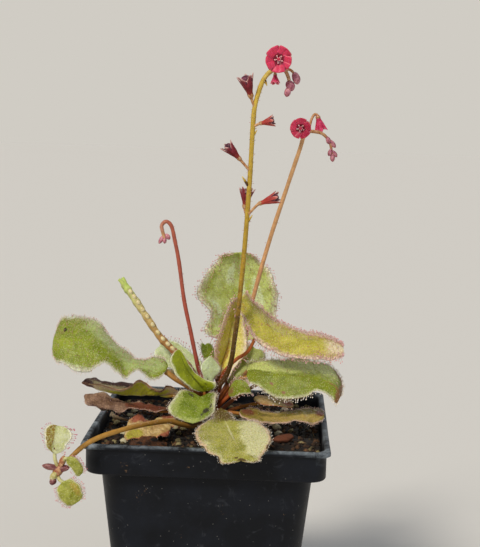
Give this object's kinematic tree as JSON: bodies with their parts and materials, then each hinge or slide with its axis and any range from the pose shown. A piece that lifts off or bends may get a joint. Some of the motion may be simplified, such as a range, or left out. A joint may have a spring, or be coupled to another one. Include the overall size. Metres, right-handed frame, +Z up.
{
  "type": "potted sundew",
  "caption": "Potted sundew: a rosette of kidney-shaped leaves with tentacled margins, red-flowered scapes and a plantlet on a runner, in a square nursery pot.",
  "frame": {"origin": "centre of the pot's flat underside", "axes": "+Z up along the scapes, -Y towards the front of the pot as seen in the picture, +X to the viewer's right"},
  "size_m": [0.0884, 0.0802, 0.1864],
  "materials": {
    "pot_plastic": "satin",
    "peat": "matte",
    "crown_bark": "matte",
    "leaf_green": "satin",
    "leaf_yellow": "satin",
    "leaf_pale": "satin",
    "leaf_olive": "satin",
    "leaf_dry": "matte",
    "leaf_tan": "matte",
    "leaf_rust": "matte",
    "leaf_stick": "satin",
    "scape_tall_skin": "satin",
    "scape_peach_skin": "satin",
    "scape_pink_skin": "satin",
    "runner_skin": "satin",
    "petal_crimson": "satin",
    "petal_pink": "satin",
    "bud_mauve": "satin",
    "petal_maroon": "matte",
    "bark": "matte",
    "twig_wood": "matte"
  },
  "bodies": {
    "root": {"crown": "crown_bark", "pot": "pot_plastic", "soil": "peat", "scape_tall": "scape_tall_skin", "scape_leaning": "scape_peach_skin", "scape_short": "scape_pink_skin", "runner": "runner_skin", "leaf_rolled": "leaf_stick", "plantlet_heart": "petal_maroon", "flower_old_1": "petal_maroon", "flower_old_2": "petal_maroon", "flower_old_3": "petal_maroon", "flower_old_4": "petal_maroon", "flower_old_5": "petal_maroon", "flower_open_tall": "petal_crimson", "flower_open_leaning": "petal_crimson", "flower_pink_tall": "petal_pink", "flower_pink_leaning": "petal_pink", "buds_tall": "bud_mauve", "buds_leaning": "bud_mauve", "buds_short": "bud_mauve", "bark_flake": "bark", "twig": "twig_wood", "leaf_back_upright": "leaf_pale", "leaf_back_low_left": "leaf_olive", "leaf_back_low_right": "leaf_olive", "leaf_right_yellow": "leaf_yellow", "leaf_right_trough": "leaf_tan", "leaf_right_green": "leaf_green", "leaf_right_narrow": "leaf_olive", "leaf_right_low": "leaf_tan", "leaf_crown_back": "leaf_pale", "leaf_crown_front": "leaf_green", "leaf_back_pale": "leaf_pale", "leaf_back_small": "leaf_green", "leaf_left_large": "leaf_green", "leaf_crown_mint": "leaf_pale", "leaf_crown_bright": "leaf_green", "leaf_left_folded": "leaf_olive", "leaf_left_dry": "leaf_dry", "leaf_soil_dying": "leaf_tan", "leaf_soil_rotten": "leaf_rust", "leaf_front_round": "leaf_green", "leaf_front_rim": "leaf_pale", "plantlet_leaf_upper": "leaf_pale", "plantlet_leaf_side": "leaf_olive", "plantlet_leaf_lower": "leaf_green"}
  },
  "joints": []
}
